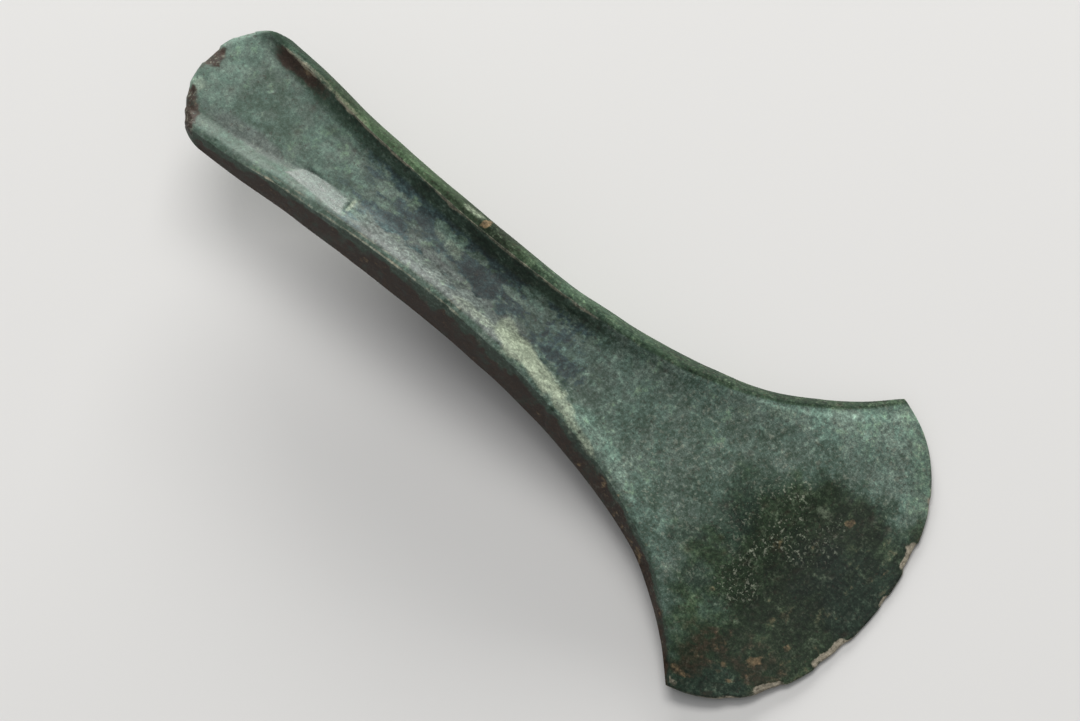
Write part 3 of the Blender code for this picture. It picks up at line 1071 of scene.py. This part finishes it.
def new_material(name):
    """A new material, its node tree and its shader."""
    material = bpy.data.materials.new(name)
    material.use_nodes = True
    return material, material.node_tree, material.node_tree.nodes["Principled BSDF"]


def added(tree, kind, output, inputs, **settings):
    """Adds a node with its settings, feeds each input from another node's output or sets it
    to a plain value, and returns one of the node's outputs."""
    node = tree.nodes.new("ShaderNode" + kind)
    for name, value in settings.items():
        setattr(node, name, value)
    for name, value in inputs.items():
        if isinstance(value, bpy.types.NodeSocket):
            tree.links.new(value, node.inputs[name])
        else:
            node.inputs[name].default_value = value
    return node.outputs[output]


def noise(tree, *character):
    """Cloudy noise from 0 to 1 in object space, with features of about 1 / scale metres,
    from its scale, detail, roughness and distortion."""
    inputs = dict(zip(("Scale", "Detail", "Roughness", "Distortion"), character))
    inputs["Vector"] = added(tree, "TexCoord", "Object", {})
    return added(tree, "TexNoise", "Fac", inputs)


def arithmetic(tree, operation, *values):
    """One step of arithmetic on values or sockets."""
    return added(tree, "Math", "Value", dict(enumerate(values)), operation=operation)


def sum_of(tree, first, *terms):
    """first + the sum of factor * (value - middle) over the (value, middle, factor)."""
    total = first
    for value, middle, factor in terms:
        centred = arithmetic(tree, "SUBTRACT", value, middle)
        total = arithmetic(tree, "MULTIPLY_ADD", centred, factor, total)
    return total


def eased(tree, value, *ends, curve="SMOOTHSTEP"):
    """A smooth step of the value between two ends, or a straight one, from 0 to 1 or to
    what the third and the fourth end say."""
    inputs = dict(zip(("From Min", "From Max", "To Min", "To Max"), ends))
    inputs["Value"] = value
    return added(tree, "MapRange", "Result", inputs, interpolation_type=curve)


def layer(tree, below, colour, share):
    """Lays a colour over what is below, where the share is 1."""
    inputs = {"Factor": share, "A": below, "B": colour}
    return added(tree, "Mix", "Result", inputs, data_type="RGBA")


def mask(tree, name):
    """A field that is kept on the points."""
    return added(tree, "Attribute", "Fac", {}, attribute_name=name)


def scaled(tree, colour, brightness):
    """A colour multiplied by a number."""
    return added(tree, "VectorMath", "Vector", {0: colour, "Scale": brightness}, operation="SCALE")


def opaque(colour, factor=1.0):
    """A colour times a factor, with full cover."""
    return (colour[0] * factor, colour[1] * factor, colour[2] * factor, 1.0)


def patina_material(colours):
    """Bronze patina. Its hue is laid down in layers, each let in by its mask with a
    ragged border, and then multiplied by two to the power of the tone in stops."""
    material, tree, shader = new_material("bronze_patina")
    mottle = noise(tree, *MOTTLE_NOISE)
    grain = noise(tree, *GRAIN_NOISE)
    dust = noise(tree, *DUST_NOISE)
    clouds = (noise(tree, *CLOUD_NOISE), 0.5, 0.8)
    texture = sum_of(tree, 0.0, clouds, (mottle, 0.5, 2.3), (grain, 0.5, 4.4), (dust, 0.5, 1.8))
    texture = arithmetic(tree, "MULTIPLY", texture, mask(tree, "roughcast"))
    tone = arithmetic(tree, "ADD", mask(tree, "patina_tone"), texture)
    half_texture = arithmetic(tree, "MULTIPLY", texture, 0.8)
    brightness = arithmetic(tree, "POWER", 2.0, half_texture)

    def let_in(below, name, colour, spread, low, high):
        ragged = sum_of(tree, mask(tree, name), (mottle, 0.5, spread), (grain, 0.5, 0.6))
        return layer(tree, below, colour, eased(tree, ragged, low, high))

    def lit(name):
        return scaled(tree, getattr(colours, name)[:3], brightness)

    teal_share = eased(tree, noise(tree, *HUE_NOISE), 0.4, 0.6)
    skin = layer(tree, opaque(colours.patina), opaque(colours.teal), teal_share)
    skin = layer(tree, skin, opaque(colours.deep), eased(tree, tone, 0.1, -1.1, 0.0, 0.9))
    skin = layer(tree, skin, opaque(colours.grey), mask(tree, "greyness"))
    for name, colour, *border in HUES:
        skin = let_in(skin, name, opaque(getattr(colours, colour)), *border)
    skin = scaled(tree, skin, arithmetic(tree, "POWER", 2.0, tone))
    for name, colour, *border in CRUSTS:
        skin = let_in(skin, name, lit(colour), *border)

    # Pale crumbs, and small dark holes.
    coarse = eased(tree, noise(tree, *COARSE_CRUMBS), 0.56, 0.66)
    small = eased(tree, noise(tree, *SMALL_CRUMBS), 0.60, 0.70)
    crumbs = arithmetic(tree, "MAXIMUM", coarse, small)
    crumbs = arithmetic(tree, "MULTIPLY", crumbs, mask(tree, "flecking"))
    skin = layer(tree, skin, lit("fleck"), crumbs)
    holes = eased(tree, noise(tree, *HOLE_NOISE), 0.36, 0.28, 0.0, 0.45)
    pitted = arithmetic(tree, "MULTIPLY", mask(tree, "pitted"), 0.5)
    skin = layer(tree, skin, lit("earth"), arithmetic(tree, "MAXIMUM", holes, pitted))
    tree.links.new(skin, shader.inputs["Base Color"])

    polish = mask(tree, "polish")
    gloss = sum_of(
        tree,
        0.58,
        (polish, 0.0, -0.12),
        (mottle, 0.5, 0.35),
        (grain, 0.5, 0.30),
        (mask(tree, "chalky_break"), 0.0, 0.3),
        (mask(tree, "bare_earth"), 0.0, 0.08),
    )
    tree.links.new(gloss, shader.inputs["Roughness"])
    sheen = arithmetic(tree, "MAXIMUM", sum_of(tree, 0.30, (polish, 0.0, 0.22)), 0.06)
    tree.links.new(sheen, shader.inputs["Specular IOR Level"])
    crumbled = (crumbs, 0.0, 0.25)
    surface = sum_of(tree, 0.0, (mottle, 0.5, 0.5), (grain, 0.5, 0.6), (dust, 0.5, 0.3), crumbled)
    bump = {"Strength": 1.0, "Distance": BUMP_DISTANCE, "Height": surface}
    tree.links.new(added(tree, "Bump", "Normal", bump), shader.inputs["Normal"])
    return material


def floor_material(colours):
    """A plain pale floor: a very faint cloud keeps it from looking empty."""
    material, tree, shader = new_material("pale_floor")
    share = eased(tree, noise(tree, 4.0, 2.0, 0.5), 0.2, 0.8, curve="LINEAR")
    paint = layer(tree, opaque(colours.floor, 0.985), opaque(colours.floor, 1.015), share)
    tree.links.new(paint, shader.inputs["Base Color"])
    shader.inputs["Roughness"].default_value = 0.85
    shader.inputs["Specular IOR Level"].default_value = 0.25
    return material


# ---- Stage

FLOOR_REACH = 4.0
AIM = Vector((0.0045, -0.0039, 0.0100))
LIGHT_DISTANCE = 2.4
LIGHT_AZIMUTH = 129

# The soft lights: name, elevation, size, power and colour.
LIGHTS = (
    ("strip", 15, (1.8, 0.7), 80.0, (1.0, 0.99, 0.97)),
    ("key", 53, (1.8, 0.8), 32.0, (1.0, 0.99, 0.97)),
    ("overhead", 80, (1.8, 1.8), 7.6, (1.0, 1.0, 1.0)),
)
AIR_COLOUR = (0.97, 0.98, 1.0, 1.0)
AIR_STRENGTH = 0.31

# The camera: where it stands seen from its aim, how it is rolled, and its lens.
CAMERA_AZIMUTH = -34.65
CAMERA_ELEVATION = 74.33
CAMERA_DISTANCE = 0.938
CAMERA_ROLL = -15.79
CAMERA_LENS = 136.67


def direction(azimuth, elevation):
    """The unit vector that points that way, from angles in degrees."""
    azimuth = math.radians(azimuth)
    elevation = math.radians(elevation)
    flat = math.cos(elevation)
    return Vector((math.cos(azimuth) * flat, math.sin(azimuth) * flat, math.sin(elevation)))


def area_light(name, elevation, size, power, colour):
    """A soft rectangular light that faces the aim."""
    away = direction(LIGHT_AZIMUTH, elevation)
    light = bpy.data.lights.new(name, "AREA")
    light.shape = "RECTANGLE"
    light.size, light.size_y = size
    light.energy = power
    light.color = colour
    lamp = fresh_object(name, light)
    lamp.location = AIM + away * LIGHT_DISTANCE
    lamp.rotation_euler = away.to_track_quat("Z", "Y").to_euler()


def place_camera(scene):
    """Looks down on the lying head, whose long axis slants across the view."""
    back = direction(CAMERA_AZIMUTH, CAMERA_ELEVATION)
    right = Vector((0, 0, 1)).cross(back).normalized()
    roll = Matrix.Rotation(math.radians(CAMERA_ROLL), 3, back)
    turn = Matrix((roll @ right, roll @ back.cross(right), back)).transposed().to_4x4()
    camera = bpy.data.cameras.new("camera")
    camera.sensor_width = 36.0
    camera.lens = CAMERA_LENS
    camera.clip_start = 0.05
    seat = fresh_object("camera", camera)
    seat.matrix_world = Matrix.Translation(AIM + back * CAMERA_DISTANCE) @ turn
    scene.camera = seat


# ---- Operators


class AXE_HEAD_OT_casting(Operator):
    """Build the flanged axe head with its worn surface and patina"""

    bl_idname = "axe_head.casting"
    bl_label = "Axe Head"

    def execute(self, context):
        settings = context.scene.axe_head_form
        skin, points = casting_skin(settings)
        normals = skin_normals(points)
        worn, pits, broken = relief(skin, points, settings)
        layers = masks(skin, points, pits, broken)
        points += normals * join_border(worn)[..., None]
        place = np.array(lying_matrix())
        laid = flat_values(points) * MM @ place[:3, :3].T + place[:3, 3]
        laid[:, 2] = np.maximum(laid[:, 2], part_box("axe_head")[0][2])
        if not np.isfinite(laid).all():
            raise RuntimeError("the axe head's skin has points that are not numbers")
        mesh = bpy.data.meshes.new("axe_head_bronze")
        mesh.from_pydata(laid.tolist(), [], skin_quads(*points.shape[1:3]).tolist())
        for name, field in layers.items():
            attribute = mesh.attributes.new(name, "FLOAT", "POINT")
            attribute.data.foreach_set("value", flat_values(field).astype(np.float32))
        mesh.shade_smooth()
        mesh.set_sharp_from_angle(angle=SHARP_ANGLE)
        mesh.materials.append(patina_material(context.scene.axe_head_colours))
        head = fresh_object("axe_head_bronze", mesh)
        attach(head, "root")
        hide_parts("axe_head")
        return {"FINISHED"}


class AXE_HEAD_OT_stage(Operator):
    """Lay out the pale floor, the soft lights and the camera"""

    bl_idname = "axe_head.stage"
    bl_label = "Stage"

    def execute(self, context):
        scene = context.scene
        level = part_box("axe_head")[0][2]
        mesh = bpy.data.meshes.new("floor")
        signs = ((-1, -1), (1, -1), (1, 1), (-1, 1))
        corners = [(x * FLOOR_REACH, y * FLOOR_REACH, level) for x, y in signs]
        mesh.from_pydata(corners, [], [(0, 1, 2, 3)])
        mesh.materials.append(floor_material(scene.axe_head_colours))
        fresh_object("floor", mesh)

        for light in LIGHTS:
            area_light(*light)
        world = bpy.data.worlds.new("studio_air")
        world.use_nodes = True
        sky = world.node_tree.nodes["Background"]
        sky.inputs["Color"].default_value = AIR_COLOUR
        sky.inputs["Strength"].default_value = AIR_STRENGTH
        scene.world = world
        scene.view_settings.view_transform = "Standard"
        place_camera(scene)
        return {"FINISHED"}


class AXE_HEAD_PT_panel(Panel):
    """Builds the axe head and its stage"""

    bl_idname = "AXE_HEAD_PT_panel"
    bl_label = "Flanged Bronze Axe Head"
    bl_space_type = "VIEW_3D"
    bl_region_type = "UI"
    bl_category = "Axe Head"

    def draw(self, context):
        column = self.layout.column()
        for settings in (context.scene.axe_head_form, context.scene.axe_head_colours):
            for name in settings.__annotations__:
                column.prop(settings, name)
        column.operator(AXE_HEAD_OT_casting.bl_idname)
        column.operator(AXE_HEAD_OT_stage.bl_idname)


CLASSES = (
    AxeHeadForm,
    AxeHeadColours,
    AXE_HEAD_OT_casting,
    AXE_HEAD_OT_stage,
    AXE_HEAD_PT_panel,
)


def register():
    for each in CLASSES:
        bpy.utils.register_class(each)
    bpy.types.Scene.axe_head_form = PointerProperty(type=AxeHeadForm)
    bpy.types.Scene.axe_head_colours = PointerProperty(type=AxeHeadColours)


def unregister():
    del bpy.types.Scene.axe_head_colours
    del bpy.types.Scene.axe_head_form
    for each in reversed(CLASSES):
        bpy.utils.unregister_class(each)


def main():
    register()
    bpy.ops.axe_head.casting()
    bpy.ops.axe_head.stage()


if __name__ == "__main__":
    main()
